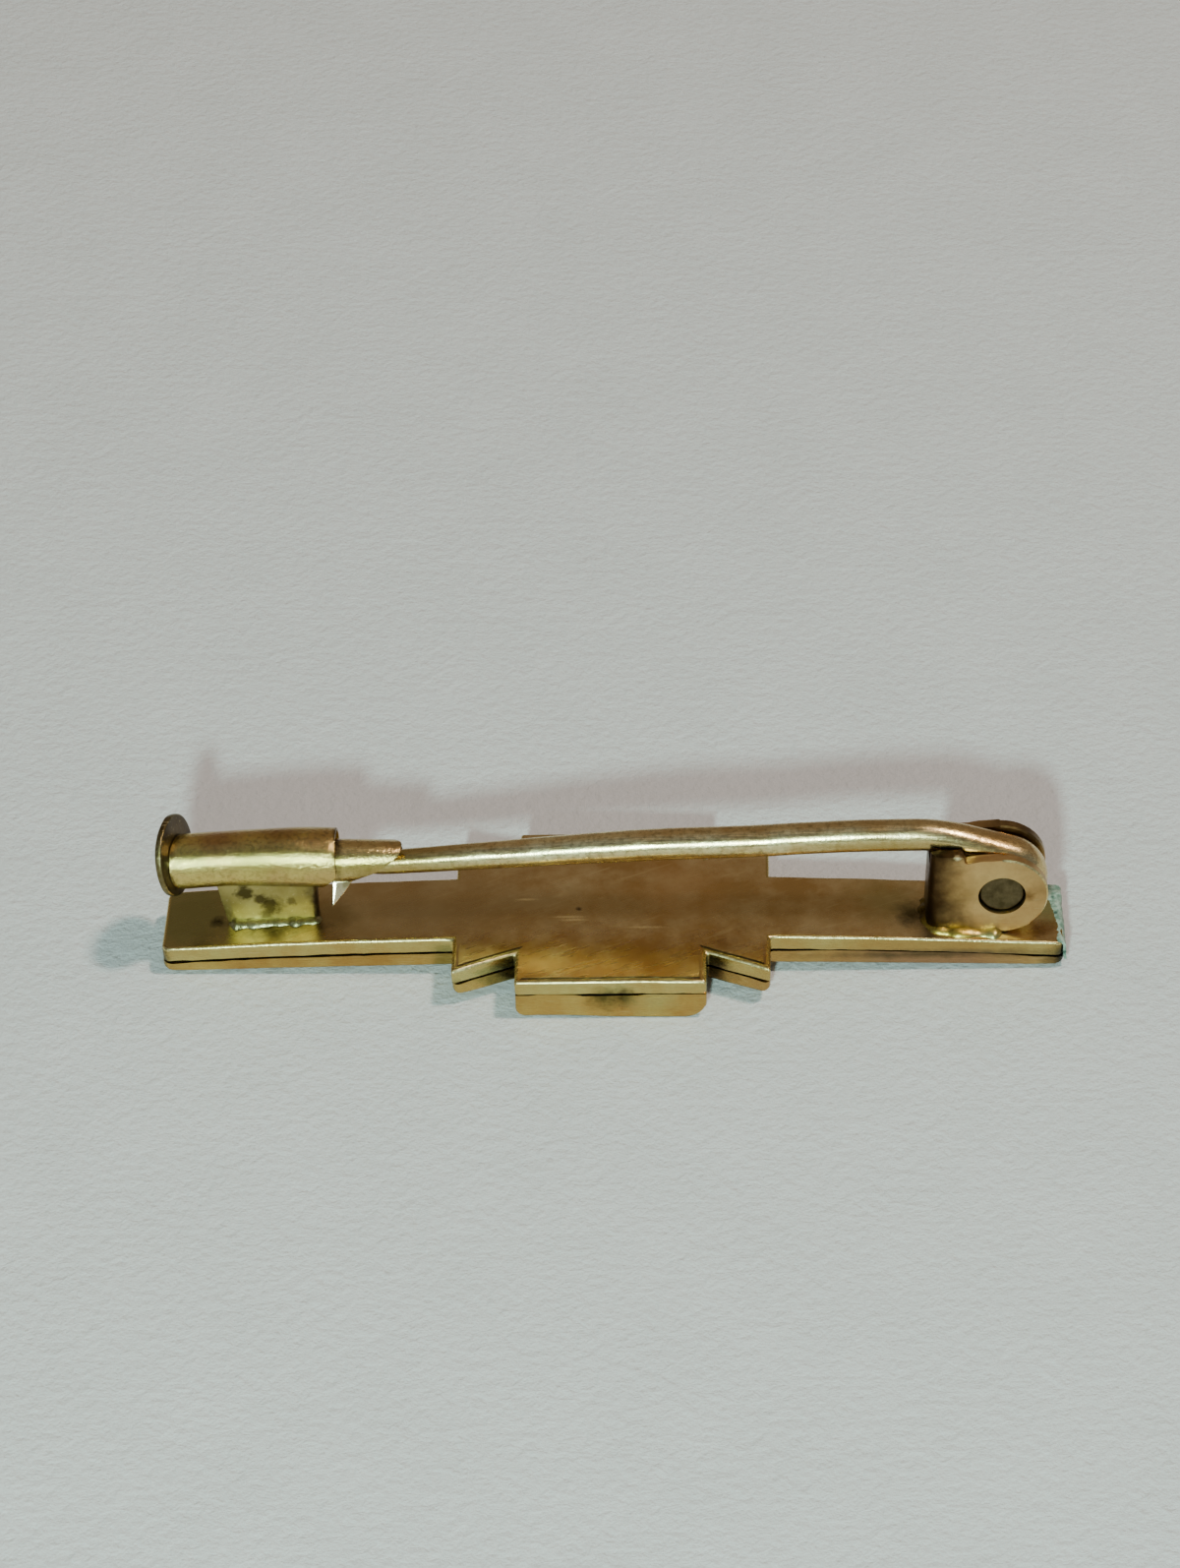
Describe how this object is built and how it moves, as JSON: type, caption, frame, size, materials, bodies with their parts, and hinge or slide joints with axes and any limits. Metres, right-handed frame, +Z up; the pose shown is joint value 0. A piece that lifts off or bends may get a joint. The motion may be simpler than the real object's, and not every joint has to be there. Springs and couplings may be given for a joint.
{
  "type": "bar brooch",
  "caption": "Slim gold bar brooch with a stepped middle, a hinged pin on its back and a tube catch whose short inner tube slides to hold the pin's point.",
  "frame": {"origin": "middle of the flat front face of the centre block, on which the brooch lies", "axes": "+X along the bar to the hinge, +Y across the bar, +Z up from the front face to the pin"},
  "size_m": [0.04, 0.01, 0.007],
  "materials": {
    "back_plate": "tarnished yellow gold with a brown bloom on the flat, fine scratches and brighter edges; tube and hinge joint satin gold",
    "front_plate": "warm yellow gold, worn smooth, with dark dirt along the seam",
    "hinge_rivet": "dull grey-green metal, filed flat",
    "pin_stem": "pale yellow gold wire, polished along its length with fine scratches",
    "catch_slide": "yellow gold tube, bright at the mouth, with a dark tarnished flange"
  },
  "bodies": {
    "brooch": {"back_plate": "back_plate", "front_plate": "front_plate", "hinge_rivet": "hinge_rivet"},
    "pin": {"pin_stem": "pin_stem"},
    "slide": {"catch_slide": "catch_slide"}
  },
  "joints": [
    {"name": "pin_hinge", "type": "hinge", "parent": "brooch", "child": "pin", "pos_m": [0.0172, 0, 0.00375], "axis": [0, 1, 0], "range_deg": [0, 105]},
    {"name": "catch_draw", "type": "slide", "parent": "brooch", "child": "slide", "axis": [-0.9997, 0.023, 0.0012], "range_m": [0, 0.00045]}
  ]
}
